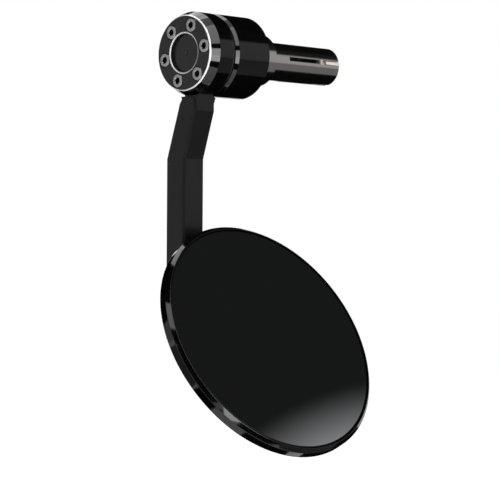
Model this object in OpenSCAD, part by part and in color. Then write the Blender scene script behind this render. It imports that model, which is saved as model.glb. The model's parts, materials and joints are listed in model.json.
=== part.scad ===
// Bar end mirror for a motorcycle, left side: a round mirror on a cranked arm that hangs from the bar end.
// X runs along the handlebar, +X into the bar. Y points forward, Z up.
// The origin is on the bar's axis, at the face that the end of the bar rests against.

/* [Insert sleeve] */
// Outside diameter of the slotted sleeve that goes inside the bar
sleeve_d = 15.8; // [14.5:0.1:17.5]
// Length of the sleeve from the bar's end face to its tip
sleeve_len = 41.2; // [36:0.2:50]
// Bore of the sleeve behind its tapered mouth
sleeve_bore_d = 11; // [9.5:0.1:12]
// Length of the tapered mouth that the cone pulls into
mouth_len = 10; // [8:0.5:14]
// Diameter of the mouth at the tip
mouth_d = 13.6; // [12.6:0.1:14]
// Chamfer round the sleeve's tip
tip_chamfer = 0.4; // [0.2:0.1:0.6]
// Depth of the drill point where the bore meets the bolt's hole
drill_point = 3.6; // [2:0.1:5]
// Number of fingers that the slots leave
finger_count = 4; // [4:2:6]
// Width of each slot
slot_w = 1.7; // [1.4:0.1:3]
// Length of the slots, from the tip
slot_len = 30.6; // [20:0.2:32]
// Turn of the first slot, up from the rear
slot_turn = 7; // [0:1:45]
// Diameter of the shoulder collar
collar_d = 21.3; // [19:0.1:24]
// Length of the shoulder collar
collar_len = 10.5; // [6:0.5:14]
// Diameter of the spigot that seats in the barrel
spigot_d = 16; // [14:0.1:18]
// Length of that spigot
spigot_len = 6; // [4:0.5:7]

/* [Cone and draw bolt] */
// Length of the expander cone
cone_len = 9.8; // [8:0.2:12]
// How far the cone stands out of the sleeve when it is loose
cone_proud = 0.8; // [0:0.1:2]
// Travel of the cone from loose to touching the mouth
cone_travel = 2; // [1:0.1:3]
// Height of the cone's keys above the sleeve's mouth
key_rise = 0.7; // [0.3:0.1:0.9]
// Length of the keys
key_len = 8.4; // [5:0.1:9.5]
// Chamfer round the cone's end
cone_chamfer = 0.3; // [0.1:0.1:0.5]
// Thread diameter of the draw bolt
bolt_d = 6; // [5:0.5:6]
// Diameter of its socket head
bolt_head_d = 10; // [8:0.5:11]
// Height of its head
bolt_head_h = 6; // [4:0.5:7]
// Hexagon of its socket, across the flats
bolt_hex = 5; // [3:0.5:6]
// Depth of that socket
bolt_hex_depth = 3; // [2:0.5:3.5]
// Thickness of the washer under its head
bolt_washer_t = 1; // [0.6:0.1:1.6]

/* [Barrel] */
// Diameter of the barrel and of the arm's eye
barrel_d = 33.5; // [32.5:0.1:38]
// Length of the barrel's outside
barrel_len = 18.6; // [16:0.2:26]
// Length of the chamfer at the barrel's front
barrel_chamfer_len = 1.6; // [0.6:0.1:3]
// How far that chamfer goes in
barrel_chamfer_in = 0.75; // [0.3:0.05:1]
// Thickness of the web that the draw bolt pulls on
web_t = 3.4; // [2.5:0.1:4]

/* [End cap] */
// Length of the end cap
cap_len = 4.15; // [3.8:0.05:6]
// How far its side tapers in towards the face
cap_taper = 1.6; // [1:0.05:2]
// Width of the polished bevel round the face
cap_bevel_w = 0.45; // [0.2:0.05:0.8]
// Length of that bevel
cap_bevel_len = 0.7; // [0.3:0.05:1]
// Wall between the screws' counterbores and the plug's bore
plug_wall = 0.75; // [0.6:0.05:1.5]
// Bevel at the mouth of that bore
plug_bevel = 0.4; // [0.2:0.05:0.5]
// Depth of the plug's face below the cap's face
plug_depth = 1.5; // [0.5:0.1:2]
// Diameter of the turned mark in the middle of the plug
plug_mark_d = 2; // [1:0.1:3]
// Diameter of the plug's O-ring section
o_ring_d = 1; // [0.8:0.1:1.2]
// Distance of the cap screws' centres inside the hub's edge
screw_edge = 2.55; // [2.4:0.05:2.7]
// Number of cap screws
screw_count = 6; // [3:1:6]
// Turn of the first cap screw about the axis
screw_turn = 19; // [-30:1:30]
// Thread diameter of the cap screws
screw_d = 3; // [2.5:0.5:3]
// Head diameter of the cap screws
screw_head_d = 5.5; // [4.5:0.1:5.6]
// Head height of the cap screws
screw_head_h = 3; // [2:0.1:3]
// Hexagon of their sockets, across the flats
screw_hex = 2.5; // [1.5:0.5:2.5]
// Depth of those sockets
screw_hex_depth = 1.8; // [1:0.1:1.8]
// Length of the cap screws under their heads
screw_len = 10; // [6:1:16]

/* [Arm] */
// Width of the arm along the bar's axis
arm_w = 11.35; // [10:0.05:14]
// Thickness of the arm below its crank
arm_t = 10.8; // [8:0.1:12]
// Thickness of the arm at the top of its crank
arm_top_t = 10.6; // [8:0.1:12]
// Thickness of the arm's neck under the eye
neck_t = 8; // [6:0.1:9]
// Height over which the neck widens to the arm
neck_flare = 2.7; // [2:0.1:4]
// Width of the arm's eye along the bar's axis
eye_w = 7.25; // [6:0.05:9]
// Distance of the arm's rear face behind the axis, at the top
arm_back = 4.45; // [3:0.05:6]
// How far the crank sets the rear face forward
crank_set = 6.07; // [2:0.05:10]
// Depth of the crank's top below the axis
crank_top = 22.8; // [20:0.1:28]
// Depth of the crank's foot below the axis
crank_foot = 41.8; // [34:0.1:60]
// Chamfer along the arm's edges
arm_chamfer = 0.9; // [0.3:0.1:1.6]
// Wall of the arm's eye round its bush
eye_wall = 1.93; // [1.6:0.01:2.2]
// Wall of the nylon bush in the eye
bush_t = 0.75; // [0.5:0.05:0.8]
// Thickness of the friction washer behind the eye
friction_t = 1.75; // [1:0.05:2.5]
// How far the friction washer's edge stands back from the barrel's
friction_in = 1.35; // [1:0.05:1.8]
// Thickness of the wave washer in front of the eye
wave_t = 0.8; // [0.5:0.05:1]
// Radial width of the wave washer
wave_w = 1; // [0.8:0.05:1.1]

/* [Ball joint] */
// Distance of the ball's centre behind the bar's axis
ball_back = 11.3; // [9:0.1:20]
// Depth of the ball's centre below the bar's axis
ball_drop = 100; // [90:0.5:130]
// Diameter of the ball
ball_d = 11; // [9:0.5:12]
// Wall of the nylon ball seats
seat_t = 1.3; // [1:0.05:2]
// How far each seat reaches round the ball from its middle, in degrees
seat_wrap = 31; // [20:1:36]
// Diameter of the stud's neck
neck_d = 5.4; // [4:0.1:6]
// Length of the neck between the ball's centre and the hexagon
neck_len = 6.4; // [6.2:0.1:9]
// Hexagon of the stud, across the flats
stud_hex = 8; // [6:0.5:9]
// Height of that hexagon
stud_hex_h = 2; // [1.5:0.1:3]
// Thread diameter of the stud
stud_d = 5; // [4:0.5:6]
// Length of the stud's thread
stud_len = 9; // [6:0.5:10]
// Thickness of the lock washer under the stud
lock_washer_t = 0.8; // [0.5:0.1:1.2]
// Diameter of the clamp ring and of the housing's socket
clamp_d = 24; // [23.6:0.2:28]
// Thickness of the clamp ring
clamp_t = 4.2; // [3.8:0.1:5]
// Width by which the housing's socket widens towards its back
socket_flare = 2.5; // [1:0.5:5]
// Number of clamp screws
clamp_screw_count = 3; // [3:1:4]
// Diameter of the circle that the clamp screws are on
clamp_pcd = 19.2; // [18.8:0.1:19.4]
// Thread diameter of the clamp screws
clamp_screw_d = 2.5; // [2:0.5:2.5]
// Head diameter of the clamp screws
clamp_head_d = 4.2; // [3.8:0.1:4.3]
// Head height of the clamp screws
clamp_head_h = 2.2; // [1.5:0.1:2.5]
// Hexagon of their sockets, across the flats
clamp_hex = 2; // [1.5:0.5:2]
// Depth of those sockets
clamp_hex_depth = 1.3; // [0.8:0.1:1.4]
// Length of the clamp screws under their heads
clamp_screw_len = 6; // [4:0.5:7]

/* [Mirror head] */
// Diameter of the mirror housing
mirror_d = 100; // [90:0.5:120]
// Tilt of the mirror's face, up from the horizontal
mirror_tilt = 30.3; // [10:0.1:45]
// Turn of the mirror's face, outwards
mirror_yaw = 1.8; // [-10:0.1:15]
// Distance of the mirror's centre inboard of the ball
ball_side = 8; // [0:0.1:12]
// Distance of the mirror's centre below the ball, along the glass
ball_rise = 22; // [15:0.1:30]
// Distance of the rim's front edge in front of the ball
ball_depth = 13.5; // [12:0.1:18]
// Length of the housing's straight outer wall
rim_len = 3.2; // [2:0.1:6]
// Chamfer at the rim's front edge
rim_chamfer = 1.4; // [0.5:0.1:2.5]
// Width of the flat lip round the glass
lip_w = 0.45; // [0.3:0.05:1.5]
// Depth of the housing's back behind the straight wall
back_depth = 2.3; // [1.5:0.1:4]
// Width of the curved edge of the back
back_round = 12; // [6:0.5:20]
// Thickness of the glass at its edge
glass_t = 2; // [1.5:0.1:3]
// Radius of curvature of the glass's face
glass_curve = 1200; // [800:50:2000]
// Ground bevel at the glass's edge
glass_bevel = 0.6; // [0.2:0.1:1]
// Depth of the glass's edge below the lip
glass_sink = 0.35; // [0.1:0.05:0.8]
// Thickness of the foam pad behind the glass
pad_t = 1; // [0.5:0.1:2]
// Width of the bare floor round the foam pad
pad_inset = 2; // [1:0.5:6]

/* [Clearances] */
// Running clearance of the bush on the hub and of the ball in its seats
run_gap = 0.05; // [0.02:0.01:0.1]
// Gap between parts that are seated in each other
fit_gap = 0.02; // [0.01:0.01:0.05]
// Gap round screws, heads and the bolt's shank
hole_gap = 0.15; // [0.1:0.05:0.3]
// Gap round the draw bolt's head
bore_gap = 0.6; // [0.3:0.1:1]
// Gap of the cone's keys in their slots
key_gap = 0.2; // [0.1:0.05:0.3]
// Play of the eye between its washers
eye_play = 0.1; // [0.05:0.05:0.2]
// Gap between the arm's shoulder and the barrel
shoulder_gap = 0.4; // [0.3:0.05:1]

/* [Hidden] */
$fn = 96;
over = 1; // how far cutters reach past what they cut

// Stations along the bar's axis
x_tip = sleeve_len;
x_barrel_back = -collar_len;
x_barrel_front = x_barrel_back - barrel_len;
x_eye_back = x_barrel_front - friction_t - eye_play / 2;
x_eye_front = x_eye_back - eye_w;
x_cap_back = x_eye_front - eye_play / 2;
x_cap_face = x_cap_back - cap_len;
x_plug_face = x_cap_face + plug_depth;
x_groove = (x_plug_face + x_cap_back) / 2;
x_web_back = x_barrel_back - spigot_len;
x_web_front = x_web_back - web_t;
x_head_back = x_web_front - bolt_washer_t;
x_eye_mid = (x_eye_back + x_eye_front) / 2;
x_arm_front = x_eye_mid - arm_w / 2;
x_arm_back = x_eye_mid + arm_w / 2;

// Radii about the bar's axis
barrel_r = barrel_d / 2;
eye_bore_r = barrel_r - eye_wall;
bush_out_r = eye_bore_r - fit_gap;
bush_in_r = bush_out_r - bush_t;
hub_r = bush_in_r - run_gap;
screw_ring_r = hub_r - screw_edge;
head_bore_r = bolt_head_d / 2 + bore_gap;
shank_hole_r = bolt_d / 2 + 2 * hole_gap;
plug_bore_r = screw_ring_r - screw_head_d / 2 - hole_gap - plug_wall;
plug_r = plug_bore_r - run_gap;
wave_mid_r = (eye_bore_r + barrel_r) / 2;
shoulder_r = barrel_r + shoulder_gap;

// The cone follows the mouth's taper, set back by its travel
mouth_slope = (mouth_d - sleeve_bore_d) / 2 / mouth_len;
cone_gap = mouth_slope * cone_travel + run_gap;
cone_big_r = mouth_d / 2 - cone_gap;
cone_small_r = cone_big_r - mouth_slope * (cone_len - cone_proud);
x_cone_back = x_tip + cone_proud - cone_len;

// The arm's faces, as distances forward of the axis
crank_slope = crank_set / (crank_foot - crank_top);
y_rear_top = -arm_back;
y_rear_foot = y_rear_top + crank_set;
neck_foot = shoulder_r + neck_flare;

// The ball joint and the mirror share one frame: its origin is the ball, its +Z looks out of the glass
ball_at = [x_eye_mid, -ball_back, -ball_drop];
ball_r = ball_d / 2;
seat_in_r = ball_r + run_gap;
seat_out_r = seat_in_r + seat_t;
socket_r = seat_out_r + run_gap;
seat_split = 0.15;
seat_reach = seat_out_r * sin(seat_wrap);
z_hex_top = -neck_len;
z_hex_foot = z_hex_top - stud_hex_h;
z_boss = z_hex_foot - lock_washer_t;
boss_len = (arm_t / 2 + ball_back + y_rear_foot + z_boss * cos(mirror_tilt)) / cos(mirror_tilt);
boss_r = arm_w / 2;
arm_end = ball_drop + (boss_len - z_boss) * sin(mirror_tilt) + boss_r;
mirror_r = mirror_d / 2;
lip_out_r = mirror_r - rim_chamfer;
lip_in_r = lip_out_r - lip_w;
glass_r = lip_in_r - hole_gap;
z_rim = ball_depth;
z_lip = z_rim + rim_chamfer;
z_glass_edge = z_lip - glass_sink;
z_glass_back = z_glass_edge - glass_t;
z_floor = z_glass_back - pad_t;
z_rim_back = z_rim - rim_len;
z_back = z_rim_back - back_depth;

// Turns a profile of [radius, x] points about the bar's axis
module turned(profile) {
    rotate([0, 90, 0]) rotate_extrude() polygon(profile);
}

// Cylinder on the bar's axis between two stations
module rod(x0, x1, r) {
    translate([x0, 0, 0]) rotate([0, 90, 0]) cylinder(h = x1 - x0, r = r);
}

// Ring on the bar's axis between two stations
module ring(x0, x1, r_out, r_in) {
    difference() {
        rod(x0, x1, r_out);
        rod(x0 - over, x1 + over, r_in);
    }
}

// Hexagon prism along Z, measured across its flats
module hexagon(flats, h) {
    cylinder(h = h, d = flats / cos(30), $fn = 6);
}

// Copies round the bar's axis, starting above it
module round_axis(count, turn, r) {
    for (i = [0 : count - 1])
        rotate([turn + i * 360 / count, 0, 0]) translate([0, 0, r]) children();
}

// Socket head screw with its seat at the origin, its thread along +Z and its head along -Z
module socket_screw(d, len, head_d, head_h, flats, hex_depth) {
    difference() {
        union() {
            cylinder(h = len, d = d);
            translate([0, 0, -head_h]) cylinder(h = head_h, d = head_d);
        }
        translate([0, 0, -head_h - over]) hexagon(flats, hex_depth + over);
    }
}

// Places its children in the frame of the ball joint and the mirror
module at_ball() {
    translate(ball_at) rotate([90 - mirror_tilt, 0, -mirror_yaw]) children();
}

// Places its children at the middle of the rim, in the same frame
module at_mirror() {
    at_ball() translate([ball_side, -ball_rise, 0]) children();
}

// Turned barrel with the hub that carries the arm's eye
module barrel() {
    color("#0c0c0e") difference() {
        turned([[0, x_barrel_back], [barrel_r, x_barrel_back],
                [barrel_r, x_barrel_front + barrel_chamfer_len],
                [barrel_r - barrel_chamfer_in, x_barrel_front],
                [hub_r, x_barrel_front], [hub_r, x_cap_back], [0, x_cap_back]]);
        rod(x_cap_back - over, x_web_front, head_bore_r);
        rod(x_web_front - over, x_web_back + over, shank_hole_r);
        rod(x_web_back, x_barrel_back + over, spigot_d / 2 + fit_gap);
        round_axis(screw_count, screw_turn, screw_ring_r)
            rod(x_cap_back - over, x_cap_back + screw_len, screw_d / 2 + fit_gap);
    }
}

// Sleeve with collar and spigot, split into fingers that spread in the bar
module insert_sleeve() {
    color("#8b8684") difference() {
        union() {
            rod(x_web_back, x_barrel_back + over, spigot_d / 2);
            rod(x_barrel_back, 0, collar_d / 2);
            turned([[0, -over], [sleeve_d / 2, -over], [sleeve_d / 2, x_tip - tip_chamfer],
                    [sleeve_d / 2 - tip_chamfer, x_tip], [0, x_tip]]);
        }
        rod(x_web_back - over, drill_point, shank_hole_r);
        turned([[0, 0], [sleeve_bore_d / 2, drill_point], [sleeve_bore_d / 2, x_tip - mouth_len],
                [mouth_d / 2, x_tip], [mouth_d / 2, x_tip + over], [0, x_tip + over]]);
        for (i = [0 : finger_count - 1])
            rotate([-slot_turn + i * 360 / finger_count, 0, 0])
                translate([x_tip - slot_len, -sleeve_d, -slot_w / 2])
                    cube([slot_len + over, sleeve_d, slot_w]);
    }
}

// Tapered plug that the draw bolt pulls into the mouth, kept from turning by a key in each slot
module expander_cone() {
    x_end = x_tip + cone_proud;
    key_r = mouth_d / 2 + key_rise;
    key_h = key_r - bolt_d / 2 - over;
    color("#dcd3cb") difference() {
        union() {
            turned([[0, x_cone_back], [cone_small_r, x_cone_back], [cone_big_r, x_tip],
                    [cone_big_r, x_end - cone_chamfer], [cone_big_r - cone_chamfer, x_end], [0, x_end]]);
            for (i = [0 : finger_count - 1])
                rotate([-slot_turn + i * 360 / finger_count, 0, 0])
                    translate([x_end - cone_chamfer - key_len, -key_r, key_gap - slot_w / 2])
                        cube([key_len, key_h, slot_w - 2 * key_gap]);
        }
        rod(x_cone_back - over, x_end + over, bolt_d / 2 + run_gap);
    }
}

// Long socket head bolt down the middle
module draw_bolt() {
    shank = x_tip + cone_proud - x_head_back;
    color("#3a3a3c") translate([x_head_back, 0, 0]) rotate([0, 90, 0])
        socket_screw(bolt_d, shank, bolt_head_d, bolt_head_h, bolt_hex, bolt_hex_depth);
}

// Washer under the draw bolt's head
module bolt_washer() {
    color("#9a9a9c") ring(x_head_back, x_web_front, bolt_head_d / 2 + hole_gap, shank_hole_r);
}

// Cap on the end of the hub, with its screws' counterbores and the plug's bore
module end_cap() {
    head_floor = x_cap_face + screw_head_h;
    bevel_r = barrel_r - cap_taper;
    color("#2c2c2e") difference() {
        turned([[0, x_cap_back], [barrel_r, x_cap_back], [bevel_r, x_cap_face + cap_bevel_len],
                [bevel_r - cap_bevel_w, x_cap_face], [0, x_cap_face]]);
        rod(x_cap_face - over, x_cap_back + over, plug_bore_r);
        turned([[0, x_cap_face - over], [plug_bore_r + plug_bevel + over, x_cap_face - over],
                [plug_bore_r, x_cap_face + plug_bevel], [0, x_cap_face + plug_bevel]]);
        ring(x_cap_back - wave_t, x_cap_back + over, wave_mid_r + wave_w / 2 + fit_gap,
             wave_mid_r - wave_w / 2 - fit_gap);
        round_axis(screw_count, screw_turn, screw_ring_r) {
            rod(x_cap_face - over, x_cap_back + over, screw_d / 2 + hole_gap);
            rod(x_cap_face - over, head_floor, screw_head_d / 2 + hole_gap);
        }
    }
}

// Socket head screws through the cap into the hub
module cap_screws() {
    color("#8c8c8e") round_axis(screw_count, screw_turn, screw_ring_r)
        translate([x_cap_face + screw_head_h, 0, 0]) rotate([0, 90, 0])
            socket_screw(screw_d, screw_len, screw_head_d, screw_head_h, screw_hex, screw_hex_depth);
}

// Push-in plug over the draw bolt's head, with a turned centre mark
module centre_plug() {
    groove_half = o_ring_d / 2 + hole_gap;
    mark_r = plug_mark_d / 2;
    color("#2a2a2c") difference() {
        rod(x_plug_face, x_cap_back, plug_r);
        ring(x_groove - groove_half, x_groove + groove_half, plug_r + over, plug_r - o_ring_d);
        turned([[0, x_plug_face - over], [mark_r + over, x_plug_face - over], [0, x_plug_face + mark_r]]);
    }
}

// O-ring that holds the plug in its bore
module plug_o_ring() {
    color("#151515") translate([x_groove, 0, 0]) rotate([0, 90, 0])
        rotate_extrude() translate([plug_bore_r - o_ring_d / 2 - fit_gap, 0])
            circle(d = o_ring_d, $fn = 32);
}

// Spring washer in the cap's groove that loads the eye
module wave_washer() {
    color("#8f8f91") ring(x_cap_back - wave_t, x_cap_back, wave_mid_r + wave_w / 2, wave_mid_r - wave_w / 2);
}

// Friction washer between the eye and the barrel
module friction_washer() {
    color("#1a1a1a") ring(x_eye_back + eye_play / 2, x_barrel_front, barrel_r - friction_in, bush_in_r);
}

// Nylon bush pressed into the eye
module eye_bush() {
    color("#dad8d0") ring(x_eye_front + eye_play, x_eye_back - eye_play, bush_out_r, bush_in_r);
}

// Corners of the arm's chamfered section at one station: [depth, rear face, thickness]
function arm_corners(station) =
    let (far = arm_w - arm_chamfer, thick = station[2], deep = thick - arm_chamfer)
    [for (p = [[arm_chamfer, 0], [far, 0], [arm_w, arm_chamfer], [arm_w, deep],
               [far, thick], [arm_chamfer, thick], [0, deep], [0, arm_chamfer]])
        [x_arm_front + p[0], station[1] + p[1], -station[0]]];

// Bar of the arm, swept through its stations
module arm_bar(stations) {
    rings = [for (s = stations) arm_corners(s)];
    side_count = len(rings[0]);
    last_row = len(rings) - 1;
    function at(row, side) = row * side_count + side % side_count;
    polyhedron(
        points = [for (r = rings) each r],
        faces = concat(
            [[for (i = [side_count - 1 : -1 : 0]) at(0, i)]],
            [for (k = [0 : last_row - 1]) for (i = [0 : side_count - 1])
                [at(k, i), at(k, i + 1), at(k + 1, i + 1), at(k + 1, i)]],
            [[for (i = [0 : side_count - 1]) at(last_row, i)]]));
}

// Arm with its eye, crank and the boss that the ball stud screws into
module arm() {
    color("#242426") difference() {
        union() {
            rod(x_eye_front, x_eye_back, barrel_r);
            // Neck between the eye and the shoulders
            translate([0, y_rear_top + neck_t, 0]) rotate([90, 0, 0]) linear_extrude(neck_t)
                polygon([[x_eye_front, -hub_r], [x_eye_back, -hub_r], [x_eye_back, -barrel_r + over],
                         [x_arm_back, -shoulder_r - shoulder_gap], [x_arm_back - arm_chamfer, -neck_foot],
                         [x_arm_front + arm_chamfer, -neck_foot], [x_arm_front, -shoulder_r],
                         [x_eye_front, -shoulder_r]]);
            intersection() {
                arm_bar([[shoulder_r + shoulder_gap, y_rear_top, neck_t],
                         [neck_foot, y_rear_top, arm_top_t - (crank_top - neck_foot) * crank_slope],
                         [crank_top, y_rear_top, arm_top_t],
                         [crank_foot, y_rear_foot, arm_t],
                         [arm_end, y_rear_foot, arm_t]]);
                rotate([90, 0, 0]) linear_extrude(4 * arm_t, center = true) {
                    translate([x_eye_mid, boss_r - arm_end]) circle(r = boss_r);
                    translate([x_arm_front - over, boss_r - arm_end]) square([arm_w + 2 * over, arm_end]);
                }
            }
            at_ball() translate([0, 0, z_boss - boss_len]) cylinder(h = boss_len, r = boss_r - fit_gap);
        }
        rod(x_eye_front - over, x_eye_back + over, eye_bore_r);
        at_ball() translate([0, 0, z_boss - stud_len - over])
            cylinder(h = stud_len + 2 * over, d = stud_d + 2 * fit_gap);
    }
}

// Ball stud with its hexagon and thread
module ball_stud() {
    color("#b4b4b6") at_ball() {
        sphere(r = ball_r);
        translate([0, 0, z_hex_top - over / 2]) cylinder(h = neck_len, d = neck_d);
        translate([0, 0, z_hex_foot]) hexagon(stud_hex, stud_hex_h);
        translate([0, 0, z_boss - stud_len]) cylinder(h = stud_len + lock_washer_t + over, d = stud_d);
    }
}

// Lock washer between the stud's hexagon and the arm's boss
module stud_lock_washer() {
    color("#8f8f91") at_ball() translate([0, 0, z_boss]) difference() {
        cylinder(h = lock_washer_t, d = stud_hex);
        translate([0, 0, -over]) cylinder(h = lock_washer_t + 2 * over, d = stud_d + 2 * hole_gap);
    }
}

// Half of the nylon seat round the ball, from its split to its mouth
module ball_seat(z0, z1) {
    at_ball() difference() {
        intersection() {
            sphere(r = seat_out_r);
            translate([0, 0, z0]) cylinder(h = z1 - z0, r = seat_out_r + over);
        }
        sphere(r = seat_in_r);
    }
}

module ball_seat_rear() {
    color("#d8d6ce") ball_seat(-seat_reach, -seat_split);
}

module ball_seat_front() {
    color("#d8d6ce") ball_seat(seat_split, seat_reach);
}

// Places copies on the clamp screws' circle
module round_clamp() {
    for (i = [0 : clamp_screw_count - 1])
        rotate([0, 0, 90 + i * 360 / clamp_screw_count]) translate([clamp_pcd / 2, 0, 0]) children();
}

// Ring that clamps the seats into the housing's socket
module clamp_ring() {
    color("#111113") at_ball() difference() {
        translate([0, 0, -clamp_t]) cylinder(h = clamp_t, d = clamp_d);
        sphere(r = socket_r);
        round_clamp() {
            translate([0, 0, -clamp_t - over]) {
                cylinder(h = clamp_t + 2 * over, d = clamp_screw_d + 2 * hole_gap);
                cylinder(h = clamp_head_h + over, d = clamp_head_d + 2 * hole_gap);
            }
        }
    }
}

// Screws through the clamp ring into the housing
module clamp_screws() {
    color("#8c8c8e") at_ball() round_clamp() translate([0, 0, clamp_head_h - clamp_t])
        socket_screw(clamp_screw_d, clamp_screw_len, clamp_head_d, clamp_head_h, clamp_hex, clamp_hex_depth);
}

// Dished housing with the glass's recess in front and the ball's socket behind
module mirror_housing() {
    curve_count = 10;
    back_curve = [for (i = [0 : curve_count])
        let (turn = i * 90 / curve_count)
        [mirror_r - back_round * (1 - cos(turn)), z_rim_back - back_depth * sin(turn)]];
    screw_depth = clamp_screw_len - clamp_t + clamp_head_h + over;
    color("#0c0c0e") difference() {
        union() {
            at_mirror() rotate_extrude()
                polygon(concat([[0, z_back], [0, z_lip], [lip_out_r, z_lip], [mirror_r, z_rim]],
                               back_curve));
            at_ball() cylinder(h = z_back + over / 2, d1 = clamp_d, d2 = clamp_d + 2 * socket_flare);
        }
        at_mirror() translate([0, 0, z_floor]) cylinder(h = z_lip - z_floor + over, r = lip_in_r);
        at_ball() {
            sphere(r = socket_r);
            round_clamp() translate([0, 0, -over])
                cylinder(h = screw_depth + over, d = clamp_screw_d + 2 * fit_gap);
        }
    }
}

// Self-adhesive foam pad that holds the glass
module glass_pad() {
    color("#1c1c1c") at_mirror() translate([0, 0, z_floor]) cylinder(h = pad_t, r = lip_in_r - pad_inset);
}

// Convex mirror glass with a ground edge
module mirror_glass() {
    curve_count = 12;
    face_r = glass_r - glass_bevel;
    z_centre = z_glass_edge - sqrt(pow(glass_curve, 2) - pow(face_r, 2));
    dome = [for (i = [curve_count : -1 : 0])
        let (r = face_r * i / curve_count)
        [r, z_centre + sqrt(pow(glass_curve, 2) - pow(r, 2))]];
    color("#171718") at_mirror() rotate_extrude()
        polygon(concat([[0, z_glass_back], [glass_r, z_glass_back], [glass_r, z_glass_edge - glass_bevel]],
                       dome));
}

barrel();
insert_sleeve();
expander_cone();
draw_bolt();
bolt_washer();
end_cap();
cap_screws();
centre_plug();
plug_o_ring();
wave_washer();
friction_washer();
eye_bush();
arm();
ball_stud();
stud_lock_washer();
ball_seat_rear();
ball_seat_front();
clamp_ring();
clamp_screws();
mirror_housing();
glass_pad();
mirror_glass();
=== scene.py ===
import json
import math

import bmesh
import bpy
from mathutils import Matrix, Vector

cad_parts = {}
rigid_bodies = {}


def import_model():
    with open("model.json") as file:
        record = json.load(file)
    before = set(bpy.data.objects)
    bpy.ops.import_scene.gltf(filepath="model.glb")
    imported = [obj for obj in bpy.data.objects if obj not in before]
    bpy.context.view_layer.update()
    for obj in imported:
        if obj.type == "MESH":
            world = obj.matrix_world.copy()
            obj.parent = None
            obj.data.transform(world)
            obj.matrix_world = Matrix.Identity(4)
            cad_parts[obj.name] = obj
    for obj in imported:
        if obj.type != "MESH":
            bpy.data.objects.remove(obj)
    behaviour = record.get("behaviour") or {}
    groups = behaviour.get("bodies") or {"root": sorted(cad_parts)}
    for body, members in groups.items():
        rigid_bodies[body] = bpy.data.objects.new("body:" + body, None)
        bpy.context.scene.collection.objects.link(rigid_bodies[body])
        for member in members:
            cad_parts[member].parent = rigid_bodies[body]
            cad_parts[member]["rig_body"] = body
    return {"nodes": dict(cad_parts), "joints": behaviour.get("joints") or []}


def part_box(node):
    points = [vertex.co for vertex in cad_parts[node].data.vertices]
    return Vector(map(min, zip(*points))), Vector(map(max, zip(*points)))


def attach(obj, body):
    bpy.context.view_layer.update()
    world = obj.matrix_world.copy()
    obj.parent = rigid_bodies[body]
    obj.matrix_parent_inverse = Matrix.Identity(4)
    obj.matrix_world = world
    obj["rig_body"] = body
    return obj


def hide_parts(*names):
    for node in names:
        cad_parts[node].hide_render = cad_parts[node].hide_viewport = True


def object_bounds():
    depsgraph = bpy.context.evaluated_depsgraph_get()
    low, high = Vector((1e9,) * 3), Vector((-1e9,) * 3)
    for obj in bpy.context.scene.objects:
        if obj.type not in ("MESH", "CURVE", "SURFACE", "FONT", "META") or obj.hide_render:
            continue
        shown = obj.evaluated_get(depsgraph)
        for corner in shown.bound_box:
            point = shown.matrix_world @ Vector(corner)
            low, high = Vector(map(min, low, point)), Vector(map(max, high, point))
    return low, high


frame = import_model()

cad_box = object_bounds()
nodes = frame["nodes"]
joints = {joint["name"]: joint for joint in frame["joints"]}

# Insert sleeve: stainless bar, turned to a collar, a spigot and a long sleeve, then slotted into four
# fingers. The spigot is pressed into the barrel. The skin keeps the fine rings of the turning tool.
MICRON = 0.000001
BAR_AXIS = Matrix.Rotation(math.radians(90), 4, "Y")


def plain_finish(name, colour, metallic, roughness):
    """A finish with one colour and gloss, before its marks are added."""
    material = bpy.data.materials.new(name)
    material.use_nodes = True
    shader = material.node_tree.nodes["Principled BSDF"]
    shader.inputs["Base Color"].default_value = (*colour, 1)
    shader.inputs["Metallic"].default_value = metallic
    shader.inputs["Roughness"].default_value = roughness
    return material


def add_bump(material, height_socket, depth):
    """Raises and sinks the skin by a depth."""
    tree = material.node_tree
    bump = tree.nodes.new("ShaderNodeBump")
    bump.inputs["Distance"].default_value = depth
    tree.links.new(height_socket, bump.inputs["Height"])
    tree.links.new(bump.outputs["Normal"], tree.nodes["Principled BSDF"].inputs["Normal"])


def vary_roughness(material, value_socket, smooth, rough):
    """Spreads the roughness between two values."""
    tree = material.node_tree
    spread = tree.nodes.new("ShaderNodeMapRange")
    spread.inputs["To Min"].default_value = smooth
    spread.inputs["To Max"].default_value = rough
    tree.links.new(value_socket, spread.inputs["Value"])
    tree.links.new(spread.outputs["Result"], tree.nodes["Principled BSDF"].inputs["Roughness"])


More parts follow.
